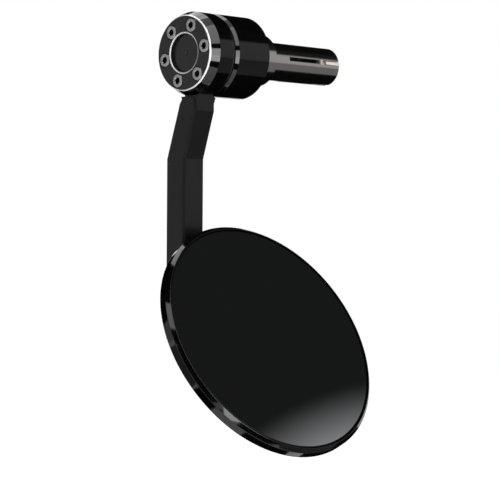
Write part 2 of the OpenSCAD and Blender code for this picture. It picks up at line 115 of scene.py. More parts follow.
def lathe_rings(material, place, pitch, depth, smooth, rough):
    """Rings of the turning tool, which follow the distance along the axis and out from it."""
    tree = material.node_tree
    spot = tree.nodes.new("ShaderNodeTexCoord")
    mapping = tree.nodes.new("ShaderNodeMapping")
    mapping.vector_type = "TEXTURE"
    mapping.inputs["Location"].default_value = place.translation
    mapping.inputs["Rotation"].default_value = place.to_euler()
    tree.links.new(spot.outputs["Object"], mapping.inputs["Vector"])
    split = tree.nodes.new("ShaderNodeSeparateXYZ")
    tree.links.new(mapping.outputs["Vector"], split.inputs["Vector"])
    flat = tree.nodes.new("ShaderNodeCombineXYZ")
    tree.links.new(split.outputs["X"], flat.inputs["X"])
    tree.links.new(split.outputs["Y"], flat.inputs["Y"])
    radius = tree.nodes.new("ShaderNodeVectorMath")
    radius.operation = "LENGTH"
    tree.links.new(flat.outputs["Vector"], radius.inputs[0])
    rings = tree.nodes.new("ShaderNodeCombineXYZ")
    tree.links.new(radius.outputs["Value"], rings.inputs["X"])
    tree.links.new(split.outputs["Z"], rings.inputs["Y"])
    noise = tree.nodes.new("ShaderNodeTexNoise")
    noise.noise_dimensions = "2D"
    noise.inputs["Scale"].default_value = 1 / pitch
    noise.inputs["Detail"].default_value = 3
    tree.links.new(rings.outputs["Vector"], noise.inputs["Vector"])
    add_bump(material, noise.outputs["Fac"], depth)
    vary_roughness(material, noise.outputs["Fac"], smooth, rough)


def grain(material, size, depth, smooth, rough):
    """Fine even grain of a blasted, moulded or coated skin."""
    tree = material.node_tree
    spot = tree.nodes.new("ShaderNodeTexCoord")
    noise = tree.nodes.new("ShaderNodeTexNoise")
    noise.inputs["Scale"].default_value = 1 / size
    noise.inputs["Detail"].default_value = 4
    tree.links.new(spot.outputs["Object"], noise.inputs["Vector"])
    add_bump(material, noise.outputs["Fac"], depth)
    vary_roughness(material, noise.outputs["Fac"], smooth, rough)


def dress(name, material):
    """Gives a CAD node its finish."""
    slots = nodes[name].data.materials
    slots.clear()
    slots.append(material)


turned_steel = plain_finish("turned_steel", (0.55, 0.53, 0.52), metallic=1.0, roughness=0.12)
lathe_rings(turned_steel, BAR_AXIS, pitch=120 * MICRON, depth=0.6 * MICRON, smooth=0.1, rough=0.2)
dress("insert_sleeve", turned_steel)

# Expander cone: steel, nickel plated, with four keys that ride in the sleeve's slots.
# The draw bolt pulls it in, and its taper spreads the fingers.
warm_nickel = plain_finish("warm_nickel", (0.94, 0.88, 0.81), metallic=0.6, roughness=0.14)
lathe_rings(warm_nickel, BAR_AXIS, pitch=200 * MICRON, depth=0.8 * MICRON, smooth=0.12, rough=0.24)
dress("expander_cone", warm_nickel)

# Draw bolt and its washer: a blackened M6 socket head bolt with a rolled thread, and a plain steel washer.
# The bolt runs down the middle from the barrel's web into the cone.
MILLIMETRE = 0.001
BOLT_CREST_R = 3.0 * MILLIMETRE
BOLT_ROOT_R = 2.45 * MILLIMETRE
BOLT_PITCH = 1.0 * MILLIMETRE
BOLT_PLAIN = 14.0 * MILLIMETRE
BOLT_HEAD_R = 5.0 * MILLIMETRE
BOLT_HEAD_H = 6.0 * MILLIMETRE
BOLT_CHAMFER = 0.5 * MILLIMETRE
BOLT_BREAK = 0.1 * MILLIMETRE
BOLT_HEX = 5.0 * MILLIMETRE
BOLT_HEX_DEPTH = 3.0 * MILLIMETRE
SCREW_STEPS = 48
THREAD_STEPS = 32
WELD = 0.1 * MICRON
HARD_TURN = math.radians(38)
CORNER_TURN = math.radians(14)


def smooth_skin(shape):
    """Smooth faces with hard edges only where the skin turns sharply."""
    for face in shape.faces:
        face.smooth = True
    for edge in shape.edges:
        edge.smooth = len(edge.link_faces) != 2 or edge.calc_face_angle(0) < HARD_TURN


def piece_from(shape, name):
    """A linked object with the shape as its mesh."""
    mesh = bpy.data.meshes.new(name)
    shape.to_mesh(mesh)
    shape.free()
    piece = bpy.data.objects.new(name, mesh)
    bpy.context.scene.collection.objects.link(piece)
    return piece


def turned(name, profile, place, broken=0.0, steps=128):
    """Turns (radius, station) corners about the Z of place, then breaks the corners that this leaves."""
    shape = bmesh.new()
    corners = [shape.verts.new((radius, 0, station)) for radius, station in profile]
    for first, second in zip(corners, corners[1:]):
        shape.edges.new((first, second))
    if profile[0][0] > 0:
        shape.edges.new((corners[-1], corners[0]))
    bmesh.ops.spin(shape, geom=shape.verts[:] + shape.edges[:], cent=(0, 0, 0), axis=(0, 0, 1),
                   angle=2 * math.pi, steps=steps, use_merge=True)
    bmesh.ops.remove_doubles(shape, verts=shape.verts, dist=WELD)
    bmesh.ops.recalc_face_normals(shape, faces=shape.faces)
    if broken:
        rims = [edge for edge in shape.edges if edge.calc_face_angle(0) > CORNER_TURN]
        bmesh.ops.bevel(shape, geom=rims, offset=broken, segments=2, profile=0.5, affect="EDGES",
                        material=-1)
    shape.transform(place)
    smooth_skin(shape)
    return piece_from(shape, name)


def joined_by(piece, tool, operation):
    """Cuts a tool out of a piece, or welds it on, and puts the tool away."""
    cut = piece.modifiers.new("cut", "BOOLEAN")
    cut.object = tool
    cut.operation = operation
    cut.solver = "EXACT"
    shape = bmesh.new()
    shape.from_object(piece, bpy.context.evaluated_depsgraph_get())
    piece.modifiers.clear()
    bmesh.ops.remove_doubles(shape, verts=shape.verts, dist=WELD)
    smooth_skin(shape)
    shape.to_mesh(piece.data)
    shape.free()
    bpy.data.objects.remove(tool)


def hex_key(name, flats, start, end, place):
    """A hexagon prism along the axis of place, which cuts a screw's socket."""
    shape = bmesh.new()
    bmesh.ops.create_cone(shape, cap_ends=True, segments=6, radius1=flats / math.sqrt(3),
                          radius2=flats / math.sqrt(3), depth=end - start)
    shape.transform(place @ Matrix.Translation((0, 0, (start + end) / 2)))
    return piece_from(shape, name)


def settle(piece, name, slot, *materials):
    """Lets a piece stand for a CAD node, with its finishes and evenly lit flats."""
    for material in materials:
        piece.data.materials.append(material)
    even = piece.modifiers.new("even_light", "WEIGHTED_NORMAL")
    even.keep_sharp = True
    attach(piece, nodes[name]["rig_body"])
    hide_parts(name)


# Blackened steel of the draw bolt; the same dark finish is painted shade in the screws' hexagon sockets.
blackened_steel_and_socket_shade = plain_finish("blackened_steel_and_socket_shade", (0.03, 0.03, 0.032), metallic=0.6, roughness=0.3)
grain(blackened_steel_and_socket_shade, size=400 * MICRON, depth=2 * MICRON, smooth=0.22, rough=0.4)
bolt_low, bolt_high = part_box("draw_bolt")
bolt_seat = bolt_low.x + BOLT_HEAD_H
thread_start = bolt_seat + BOLT_PLAIN
thread_turns = int((bolt_high.x - thread_start) / BOLT_PITCH) - 1
bolt_profile = [
    (0, bolt_low.x),
    (BOLT_HEAD_R - BOLT_CHAMFER, bolt_low.x),
    (BOLT_HEAD_R, bolt_low.x + BOLT_CHAMFER),
    (BOLT_HEAD_R, bolt_seat),
    (BOLT_CREST_R, bolt_seat),
    (BOLT_CREST_R, thread_start),
    (BOLT_ROOT_R, thread_start + BOLT_CHAMFER),
    (0, thread_start + BOLT_CHAMFER),
]
bolt = turned("bolt_head", bolt_profile, BAR_AXIS, broken=BOLT_BREAK, steps=SCREW_STEPS)
bolt_key = hex_key("bolt_key", BOLT_HEX, bolt_low.x - MILLIMETRE, bolt_low.x + BOLT_HEX_DEPTH, BAR_AXIS)
joined_by(bolt, bolt_key, "DIFFERENCE")
settle(bolt, "draw_bolt", "dark_steel", blackened_steel_and_socket_shade)

thread_shape = bmesh.new()
thread_line = [thread_shape.verts.new((BOLT_ROOT_R if step % 2 == 0 else BOLT_CREST_R, 0,
                                       thread_start + step * BOLT_PITCH / 2))
               for step in range(2 * thread_turns + 1)]
for first, second in zip(thread_line, thread_line[1:]):
    thread_shape.edges.new((first, second))
bmesh.ops.spin(thread_shape, geom=thread_shape.verts[:] + thread_shape.edges[:], cent=(0, 0, 0),
               axis=(0, 0, 1), angle=2 * math.pi, steps=THREAD_STEPS,
               dvec=(0, 0, BOLT_PITCH / THREAD_STEPS))
bmesh.ops.remove_doubles(thread_shape, verts=thread_shape.verts, dist=MICRON)
open_ends = [edge for edge in thread_shape.edges if edge.is_boundary]
bmesh.ops.holes_fill(thread_shape, edges=open_ends, sides=0)
bmesh.ops.recalc_face_normals(thread_shape, faces=thread_shape.faces)
thread_shape.transform(BAR_AXIS)
smooth_skin(thread_shape)
bolt_thread = piece_from(thread_shape, "bolt_thread")
settle(bolt_thread, "draw_bolt", "dark_steel", blackened_steel_and_socket_shade)

washer_steel = plain_finish("washer_steel", (0.5, 0.5, 0.5), metallic=1.0, roughness=0.3)
lathe_rings(washer_steel, BAR_AXIS, pitch=200 * MICRON, depth=1 * MICRON, smooth=0.25, rough=0.38)
dress("bolt_washer", washer_steel)

# Barrel: aluminium, turned and gloss black anodised. Its hub carries the arm's eye and takes the cap's
# screws. Its corners are broken with a fine chamfer before anodising.
BARREL_CHAMFER_LEN = 1.6 * MILLIMETRE
BARREL_CHAMFER_IN = 0.75 * MILLIMETRE
BARREL_BREAK = 0.12 * MILLIMETRE
BARREL_STEPS = 192
HUB_R = 14.0 * MILLIMETRE
HEAD_BORE_R = 5.6 * MILLIMETRE
SHANK_HOLE_R = 3.3 * MILLIMETRE
SPIGOT_HOLE_R = 8.02 * MILLIMETRE
SCREW_COUNT = 6
SCREW_RING_R = 11.45 * MILLIMETRE
SCREW_TURN = 19
SCREW_R = 1.5 * MILLIMETRE
SCREW_LEN = 10.0 * MILLIMETRE
THREAD_PLAY = 0.02 * MILLIMETRE
HOLE_STEPS = 32


def round_the_bar(turn, radius):
    """Places round the bar's axis, starting above it, whose Z runs along the bar."""
    return [Matrix.Rotation(math.radians(turn + step * 360 / SCREW_COUNT), 4, "X")
            @ Matrix.Translation((0, 0, radius)) @ BAR_AXIS for step in range(SCREW_COUNT)]


def row_of(name, single, places):
    """One piece with a copy of a single piece at each place."""
    row = bmesh.new()
    for place in places:
        before = len(row.verts)
        row.from_mesh(single.data)
        row.verts.ensure_lookup_table()
        bmesh.ops.transform(row, matrix=place, verts=row.verts[before:])
    bpy.data.objects.remove(single)
    return piece_from(row, name)


gloss_black = plain_finish("gloss_black", (0.0015, 0.0015, 0.0016), metallic=0.0, roughness=0.08)
lathe_rings(gloss_black, BAR_AXIS, pitch=150 * MICRON, depth=0.3 * MICRON, smooth=0.05, rough=0.1)
barrel_low, barrel_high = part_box("barrel")
barrel_back, hub_end, barrel_r = barrel_high.x, barrel_low.x, barrel_high.z
barrel_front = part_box("friction_washer")[1].x
web_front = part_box("bolt_washer")[1].x
web_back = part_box("insert_sleeve")[0].x
barrel_profile = [
    (SPIGOT_HOLE_R, barrel_back),
    (barrel_r, barrel_back),
    (barrel_r, barrel_front + BARREL_CHAMFER_LEN),
    (barrel_r - BARREL_CHAMFER_IN, barrel_front),
    (HUB_R, barrel_front),
    (HUB_R, hub_end),
    (HEAD_BORE_R, hub_end),
    (HEAD_BORE_R, web_front),
    (SHANK_HOLE_R, web_front),
    (SHANK_HOLE_R, web_back),
    (SPIGOT_HOLE_R, web_back),
]
barrel = turned("barrel_body", barrel_profile, BAR_AXIS, broken=BARREL_BREAK, steps=BARREL_STEPS)
tapped_profile = [
    (0, hub_end - MILLIMETRE),
    (SCREW_R + THREAD_PLAY, hub_end - MILLIMETRE),
    (SCREW_R + THREAD_PLAY, hub_end + SCREW_LEN),
    (0, hub_end + SCREW_LEN),
]
screw_places = round_the_bar(SCREW_TURN, SCREW_RING_R)
tapped_hole = turned("tapped_hole", tapped_profile, Matrix.Identity(4), steps=HOLE_STEPS)
joined_by(barrel, row_of("tapped_holes", tapped_hole, screw_places), "DIFFERENCE")
settle(barrel, "barrel", "black_gloss", gloss_black)

# Washers and bush of the arm's pivot: a black fibre friction washer, a nylon bush and a spring steel wave
# washer. They are stacked on the hub, on both sides of the eye and inside it.
fibre = plain_finish("fibre", (0.02, 0.02, 0.02), metallic=0.0, roughness=0.7)
grain(fibre, size=200 * MICRON, depth=10 * MICRON, smooth=0.6, rough=0.85)
dress("friction_washer", fibre)
nylon = plain_finish("nylon", (0.7, 0.69, 0.65), metallic=0.0, roughness=0.4)
grain(nylon, size=600 * MICRON, depth=4 * MICRON, smooth=0.32, rough=0.48)
dress("eye_bush", nylon)
dress("wave_washer", washer_steel)

# Arm: aluminium, milled from one billet with the eye, the crank and the boss for the ball stud.
# It is blasted, then satin black anodised, but for the outside of the eye, which is glossy.
ARM_EDGE = 0.18 * MILLIMETRE
SHARP_TURN = math.radians(12)
SAME_PLANE = math.radians(0.3)
SIDEWAYS = 0.5


def softened(name, new_name, width, angle):
    """A copy of a CAD node, whose corners over an angle are broken by a fine round."""
    shape = bmesh.new()
    shape.from_mesh(nodes[name].data)
    bmesh.ops.remove_doubles(shape, verts=shape.verts, dist=MICRON)
    bmesh.ops.dissolve_limit(shape, angle_limit=SAME_PLANE, verts=shape.verts, edges=shape.edges)
    for face in shape.faces:
        face.smooth = True
    piece = piece_from(shape, new_name)
    edge = piece.modifiers.new("broken_edge", "BEVEL")
    edge.width = width
    edge.segments = 2
    edge.limit_method = "ANGLE"
    edge.angle_limit = angle
    return piece


def dull_shine(material, level):
    """Lowers the shine of a finish."""
    material.node_tree.nodes["Principled BSDF"].inputs["Specular IOR Level"].default_value = level


satin_black = plain_finish("satin_black", (0.002, 0.002, 0.0022), metallic=0.0, roughness=0.3)
dull_shine(satin_black, 0.4)
grain(satin_black, size=300 * MICRON, depth=1.5 * MICRON, smooth=0.27, rough=0.34)
arm = softened("arm", "arm_body", ARM_EDGE, SHARP_TURN)
eye_edge = barrel_r + ARM_EDGE
for face in arm.data.polygons:
    on_eye = face.center.yz.length < eye_edge and abs(face.normal.x) < SIDEWAYS
    face.material_index = 1 if on_eye else 0
settle(arm, "arm", "black_satin", satin_black, gloss_black)

# End cap: black anodised aluminium, satin on its face, with a painted highlight on the bevels round the face
# and the plug's recess. Six screws hold it to the hub, with their heads sunk in counterbores.
CAP_TAPER = 1.6 * MILLIMETRE
CAP_BEVEL_W = 0.42 * MILLIMETRE
CAP_BEVEL_LEN = 0.55 * MILLIMETRE
CAP_BREAK = 0.04 * MILLIMETRE
PLUG_BORE_R = 7.8 * MILLIMETRE
PLUG_BEVEL_W = 0.55 * MILLIMETRE
PLUG_BEVEL_LEN = 0.22 * MILLIMETRE
WAVE_IN_R = 15.265 * MILLIMETRE
WAVE_OUT_R = 16.305 * MILLIMETRE
HEAD_HOLE_R = 2.9 * MILLIMETRE
HEAD_DEPTH = 3.0 * MILLIMETRE
HEAD_HOLE_EDGE = 0.12 * MILLIMETRE
SCREW_HOLE_R = 1.65 * MILLIMETRE
FACING = 0.97
cap_low, cap_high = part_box("end_cap")
cap_face, cap_back, cap_r = cap_low.x, cap_high.x, cap_high.z
wave_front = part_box("wave_washer")[0].x
cap_profile = [
    (PLUG_BORE_R, cap_back),
    (WAVE_IN_R, cap_back),
    (WAVE_IN_R, wave_front),
    (WAVE_OUT_R, wave_front),
    (WAVE_OUT_R, cap_back),
    (cap_r, cap_back),
    (cap_r - CAP_TAPER, cap_face + CAP_BEVEL_LEN),
    (cap_r - CAP_TAPER - CAP_BEVEL_W, cap_face),
    (PLUG_BORE_R + PLUG_BEVEL_W, cap_face),
    (PLUG_BORE_R, cap_face + PLUG_BEVEL_LEN),
]
end_cap = turned("end_cap_body", cap_profile, BAR_AXIS, broken=CAP_BREAK, steps=BARREL_STEPS)
counterbore_profile = [
    (0, cap_face - MILLIMETRE),
    (HEAD_HOLE_R + HEAD_HOLE_EDGE + MILLIMETRE, cap_face - MILLIMETRE),
    (HEAD_HOLE_R, cap_face + HEAD_HOLE_EDGE),
    (HEAD_HOLE_R, cap_face + HEAD_DEPTH),
    (SCREW_HOLE_R, cap_face + HEAD_DEPTH),
    (SCREW_HOLE_R, cap_back + MILLIMETRE),
    (0, cap_back + MILLIMETRE),
]
counterbore = turned("counterbore", counterbore_profile, Matrix.Identity(4), steps=SCREW_STEPS)
cap_black = plain_finish("cap_black", (0.01, 0.01, 0.0105), metallic=0.0, roughness=0.3)
grain(cap_black, size=300 * MICRON, depth=1.5 * MICRON, smooth=0.27, rough=0.34)
# Near-white finish for the front bevels, a painted highlight standing in for their reflection.
painted_highlight_bevel = plain_finish("painted_highlight_bevel", (0.95, 0.95, 0.96), metallic=0.35, roughness=0.3)
lathe_rings(painted_highlight_bevel, BAR_AXIS, pitch=100 * MICRON, depth=0.5 * MICRON, smooth=0.25, rough=0.35)
# Front bevel faces take the painted highlight; the rest of the side takes the gloss black.
for face in end_cap.data.polygons:
    if abs(face.normal.x) < FACING and face.center.yz.length > PLUG_BORE_R:
        face.material_index = 1 if face.center.x < cap_face + CAP_BEVEL_LEN else 2
for material in (cap_black, painted_highlight_bevel, gloss_black):
    end_cap.data.materials.append(material)
joined_by(end_cap, row_of("counterbores", counterbore, screw_places), "DIFFERENCE")
settle(end_cap, "end_cap", "black_satin")

# Cap screws: stainless M3 socket head screws, with a chamfer round the head and a hexagon socket, whose
# faces are painted dark as shade.
# Each stands turned as it was left when it came tight.
HEAD_R = 2.75 * MILLIMETRE
HEAD_H = 3.0 * MILLIMETRE
HEAD_CHAMFER = 0.25 * MILLIMETRE
MOUTH_CHAMFER = 0.25 * MILLIMETRE
SOCKET_FLATS = 2.5 * MILLIMETRE
SOCKET_DEPTH = 1.8 * MILLIMETRE
SOCKET_TURNS = (12, 40, 5, 52, 25, 33)
SOCKET_SKIN = 20 * MICRON
SOCKET_START = 50 * MICRON


def socket_screw(name, head_r, head_h, thread_r, length, flats, depth):
    """A socket head screw along +Z, with its seat at the origin and its head below it. Its socket faces take
    slot 1, painted dark as shade.
    """
    chamfer = HEAD_CHAMFER * head_r / HEAD_R
    screw_profile = [
        (0, -head_h),
        (head_r - chamfer, -head_h),
        (head_r, chamfer - head_h),
        (head_r, 0),
        (thread_r, 0),
        (thread_r, length),
        (0, length),
    ]
    screw = turned(name, screw_profile, Matrix.Identity(4), broken=CAP_BREAK, steps=SCREW_STEPS)
    mouth_profile = [
        (0, -head_h - depth),
        (flats / 2 + depth + MOUTH_CHAMFER, -head_h - depth),
        (flats / 2, MOUTH_CHAMFER - head_h),
        (0, MOUTH_CHAMFER - head_h),
    ]
    mouth = turned("socket_mouth", mouth_profile, Matrix.Identity(4), steps=SCREW_STEPS)
    joined_by(screw, mouth, "DIFFERENCE")
    key = hex_key("screw_key", flats, -head_h - depth, depth - head_h, Matrix.Identity(4))
    joined_by(screw, key, "DIFFERENCE")
    # Faces inside the hexagon socket take slot 1, a dark finish that is painted shade in the recess.
    for face in screw.data.polygons:
        below_mouth = 0 > face.center.z > SOCKET_START - head_h
        painted_socket_shade = below_mouth and face.center.xy.length < flats / 2 + SOCKET_SKIN
        face.material_index = 1 if painted_socket_shade else 0
    return screw


screw_steel = plain_finish("screw_steel", (0.5, 0.5, 0.51), metallic=1.0, roughness=0.3)
grain(screw_steel, size=300 * MICRON, depth=2 * MICRON, smooth=0.25, rough=0.4)
cap_screw = socket_screw("cap_screw", HEAD_R, HEAD_H, SCREW_R, SCREW_LEN, SOCKET_FLATS, SOCKET_DEPTH)
cap_seat = Matrix.Translation((0, 0, cap_face + HEAD_H))
cap_screw_places = [place @ cap_seat @ Matrix.Rotation(math.radians(turn), 4, "Z")
                    for place, turn in zip(screw_places, SOCKET_TURNS)]
cap_screws = row_of("cap_screw_set", cap_screw, cap_screw_places)
# The dark steel in slot 1 is painted shade in the sockets.
settle(cap_screws, "cap_screws", "screw_steel", screw_steel, blackened_steel_and_socket_shade)

# Centre plug: aluminium, satin black, pushed into the cap's bore and held there by its rubber O-ring.
# It covers the head of the draw bolt and has a turned mark in the middle.
PLUG_MARK_R = 1.0 * MILLIMETRE
PLUG_GROOVE_DEPTH = 1.0 * MILLIMETRE
PLUG_BREAK = 0.08 * MILLIMETRE
RING_PLAY = 0.15 * MILLIMETRE
plug_low, plug_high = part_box("centre_plug")
ring_low, ring_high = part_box("plug_o_ring")
plug_r = plug_high.z
plug_profile = [
    (0, plug_low.x + PLUG_MARK_R),
    (PLUG_MARK_R, plug_low.x),
    (plug_r, plug_low.x),
    (plug_r, ring_low.x - RING_PLAY),
    (plug_r - PLUG_GROOVE_DEPTH, ring_low.x - RING_PLAY),
    (plug_r - PLUG_GROOVE_DEPTH, ring_high.x + RING_PLAY),
    (plug_r, ring_high.x + RING_PLAY),
    (plug_r, plug_high.x),
    (0, plug_high.x),
]
centre_plug = turned("centre_plug_body", plug_profile, BAR_AXIS, broken=PLUG_BREAK)
settle(centre_plug, "centre_plug", "black_satin", cap_black)
rubber = plain_finish("rubber", (0.015, 0.015, 0.015), metallic=0.0, roughness=0.6)
grain(rubber, size=400 * MICRON, depth=4 * MICRON, smooth=0.5, rough=0.7)
dress("plug_o_ring", rubber)

# Ball stud, lock washer and nylon seats: the stud screws into the arm's boss, and the two seats clasp its
# ball. The stud is polished steel, and the washer under its hexagon is plain spring steel.
ball_steel = plain_finish("ball_steel", (0.7, 0.7, 0.71), metallic=1.0, roughness=0.12)
grain(ball_steel, size=500 * MICRON, depth=0.6 * MICRON, smooth=0.08, rough=0.16)
dress("ball_stud", ball_steel)
dress("stud_lock_washer", washer_steel)
dress("ball_seat_rear", nylon)
dress("ball_seat_front", nylon)

# Mirror housing: aluminium, turned to a shallow dish, gloss black anodised.
# The ball's socket stands on its back, off its centre, with three tapped holes for the clamp ring.
LIP_R = 48.15 * MILLIMETRE
RIM_CHAMFER = 1.4 * MILLIMETRE
RIM_LEN = 3.2 * MILLIMETRE
RIM_BREAK = 0.12 * MILLIMETRE
RIM_STEPS = 256
BACK_DEPTH = 2.3 * MILLIMETRE
BACK_ROUND = 12.0 * MILLIMETRE
BACK_STEPS = 16
SOCKET_R = 6.9 * MILLIMETRE
SOCKET_STEPS = 64
BOSS_R = 12.0 * MILLIMETRE
BOSS_FLARE = 2.5 * MILLIMETRE
BOSS_SUNK = 0.5 * MILLIMETRE
BOSS_BREAK = 0.2 * MILLIMETRE
BOSS_STEPS = 96
CLAMP_SCREW_R = 1.25 * MILLIMETRE
CLAMP_SCREW_LEN = 6.0 * MILLIMETRE
CLAMP_HOLE_DEPTH = 5.0 * MILLIMETRE
CLAMP_CIRCLE_R = 9.6 * MILLIMETRE
CLAMP_COUNT = 3
CLAMP_TURN = 90
ball_centre = Vector(joints["mirror_spin"]["pos_m"])
outward = Vector(joints["mirror_spin"]["axis"]).normalized()
sideways = Vector(joints["mirror_tilt"]["axis"]).normalized()
upward = outward.cross(sideways)


def reach(name, direction):
    """Lowest and highest distance of a node's points along a direction from the ball's centre."""
    steps = [(vertex.co - ball_centre).dot(direction) for vertex in nodes[name].data.vertices]
    return min(steps), max(steps)


def middle(span):
    """The distance halfway between the ends of a span."""
    return (span[0] + span[1]) / 2


def place_at(centre):
    """The mirror's frame, with Z out of the glass, moved to a centre."""
    place = Matrix((sideways, upward, outward)).transposed().to_4x4()
    place.translation = centre
    return place


def socket_arc(radius, low, high, steps=12):
    """Points of the ball's socket between two stations, as (radius, station)."""
    heights = [low + (high - low) * step / steps for step in range(steps + 1)]
    return [(math.sqrt(max(radius ** 2 - height ** 2, 0)), height) for height in heights]


mirror_place = place_at(ball_centre + sideways * middle(reach("mirror_glass", sideways))
                        + upward * middle(reach("mirror_glass", upward)))
ball_place = place_at(ball_centre)
lip_height = reach("mirror_housing", outward)[1]
floor_height = reach("glass_pad", outward)[0]
rim_low, rim_high = reach("mirror_housing", sideways)
rim_r = (rim_high - rim_low) / 2
rim_height = lip_height - RIM_CHAMFER
rim_back = rim_height - RIM_LEN
back_height = rim_back - BACK_DEPTH
back_turns = [step * math.pi / 2 / BACK_STEPS for step in range(BACK_STEPS + 1)]
back_curve = [(rim_r - BACK_ROUND * (1 - math.cos(turn)), rim_back - BACK_DEPTH * math.sin(turn))
              for turn in back_turns]
housing_profile = [
    (0, floor_height),
    (LIP_R, floor_height),
    (LIP_R, lip_height),
    (rim_r - RIM_CHAMFER, lip_height),
    (rim_r, rim_height),
    *back_curve,
    (0, back_height),
]
housing = turned("housing_shell", housing_profile, mirror_place, broken=RIM_BREAK, steps=RIM_STEPS)
boss_profile = [
    (0, 0),
    (BOSS_R, 0),
    (BOSS_R + BOSS_FLARE, back_height + BOSS_SUNK),
    (0, back_height + BOSS_SUNK),
]
boss = turned("boss", boss_profile, ball_place, broken=BOSS_BREAK, steps=BOSS_STEPS)
joined_by(housing, boss, "UNION")
socket_profile = socket_arc(SOCKET_R, -SOCKET_R, SOCKET_R, steps=48)
joined_by(housing, turned("socket_ball", socket_profile, ball_place, steps=SOCKET_STEPS), "DIFFERENCE")
clamp_places = [ball_place @ Matrix.Rotation(math.radians(CLAMP_TURN + step * 360 / CLAMP_COUNT), 4, "Z")
                @ Matrix.Translation((CLAMP_CIRCLE_R, 0, 0)) for step in range(CLAMP_COUNT)]
clamp_hole_profile = [
    (0, -MILLIMETRE),
    (CLAMP_SCREW_R + THREAD_PLAY, -MILLIMETRE),
    (CLAMP_SCREW_R + THREAD_PLAY, CLAMP_HOLE_DEPTH),
    (0, CLAMP_HOLE_DEPTH),
]
clamp_hole = turned("clamp_hole", clamp_hole_profile, Matrix.Identity(4), steps=HOLE_STEPS)
joined_by(housing, row_of("clamp_holes", clamp_hole, clamp_places), "DIFFERENCE")
housing_black = plain_finish("housing_black", (0.0015, 0.0015, 0.0016), metallic=0.0, roughness=0.08)
lathe_rings(housing_black, mirror_place, pitch=300 * MICRON, depth=0.3 * MICRON, smooth=0.05, rough=0.09)
settle(housing, "mirror_housing", "black_gloss", housing_black)

# Clamp ring and its screws: a turned black ring that presses the rear seat against the ball.
# Three stainless M2.5 socket head screws pull it to the housing's boss; their sockets are painted dark as
# shade.
CLAMP_HEAD_R = 2.1 * MILLIMETRE
CLAMP_HEAD_H = 2.2 * MILLIMETRE
CLAMP_FLATS = 2.0 * MILLIMETRE
CLAMP_SOCKET_DEPTH = 1.3 * MILLIMETRE
CLAMP_PLAY = 0.15 * MILLIMETRE
clamp_back = reach("clamp_ring", outward)[0]
clamp_profile = [
    *socket_arc(SOCKET_R, clamp_back, 0),
    (BOSS_R, 0),
    (BOSS_R, clamp_back),
]
clamp_ring = turned("clamp_ring_body", clamp_profile, ball_place, broken=BOSS_BREAK, steps=BOSS_STEPS)
clamp_bore_profile = [
    (0, clamp_back - MILLIMETRE),
    (CLAMP_HEAD_R + CLAMP_PLAY, clamp_back - MILLIMETRE),
    (CLAMP_HEAD_R + CLAMP_PLAY, clamp_back + CLAMP_HEAD_H),
    (CLAMP_SCREW_R + CLAMP_PLAY, clamp_back + CLAMP_HEAD_H),
    (CLAMP_SCREW_R + CLAMP_PLAY, MILLIMETRE),
    (0, MILLIMETRE),
]
clamp_bore = turned("clamp_bore", clamp_bore_profile, Matrix.Identity(4), steps=SCREW_STEPS)
joined_by(clamp_ring, row_of("clamp_bores", clamp_bore, clamp_places), "DIFFERENCE")
settle(clamp_ring, "clamp_ring", "black_gloss", housing_black)
clamp_screw = socket_screw("clamp_screw", CLAMP_HEAD_R, CLAMP_HEAD_H, CLAMP_SCREW_R, CLAMP_SCREW_LEN,
                           CLAMP_FLATS, CLAMP_SOCKET_DEPTH)
clamp_seat = Matrix.Translation((0, 0, clamp_back + CLAMP_HEAD_H))
clamp_screws = row_of("clamp_screw_set", clamp_screw, [place @ clamp_seat for place in clamp_places])
# The dark steel in slot 1 is painted shade in the sockets.
settle(clamp_screws, "clamp_screws", "screw_steel", screw_steel, blackened_steel_and_socket_shade)

# Glass pad and mirror glass: convex glass, silvered at the back, stuck to the housing's floor with black
# foam. The edge of the glass is ground to a matt bevel.
GLASS_CURVE = 1200.0 * MILLIMETRE
GLASS_BEVEL = 0.6 * MILLIMETRE
GLASS_RINGS = 48
DOMED = 0.95
foam = plain_finish("foam", (0.02, 0.02, 0.02), metallic=0.0, roughness=0.9)
grain(foam, size=500 * MICRON, depth=20 * MICRON, smooth=0.8, rough=0.95)
dress("glass_pad", foam)
glass_low, glass_high = reach("mirror_glass", sideways)
glass_r = (glass_high - glass_low) / 2
glass_back, glass_top = reach("mirror_glass", outward)
dome_centre = glass_top - GLASS_CURVE
dome_radii = [(glass_r - GLASS_BEVEL) * (1 - step / GLASS_RINGS) for step in range(GLASS_RINGS + 1)]
dome = [(radius, dome_centre + math.sqrt(GLASS_CURVE ** 2 - radius ** 2)) for radius in dome_radii]
glass_profile = [
    (0, glass_back),
    (glass_r, glass_back),
    (glass_r, dome[0][1] - GLASS_BEVEL),
    *dome,
]
glass = turned("glass_disc", glass_profile, mirror_place, steps=RIM_STEPS)
for face in glass.data.polygons:
    face.material_index = 1 if face.normal.dot(outward) < DOMED else 0
silvered = plain_finish("silvered_glass", (0.7, 0.72, 0.73), metallic=1.0, roughness=0.01)
grain(silvered, size=17 * MILLIMETRE, depth=0.1 * MICRON, smooth=0.005, rough=0.02)
ground_glass = plain_finish("ground_glass", (0.004, 0.0042, 0.0042), metallic=0.0, roughness=0.5)
dull_shine(ground_glass, 0.15)
grain(ground_glass, size=200 * MICRON, depth=1 * MICRON, smooth=0.45, rough=0.6)
settle(glass, "mirror_glass", "mirror_glass", silvered, ground_glass)

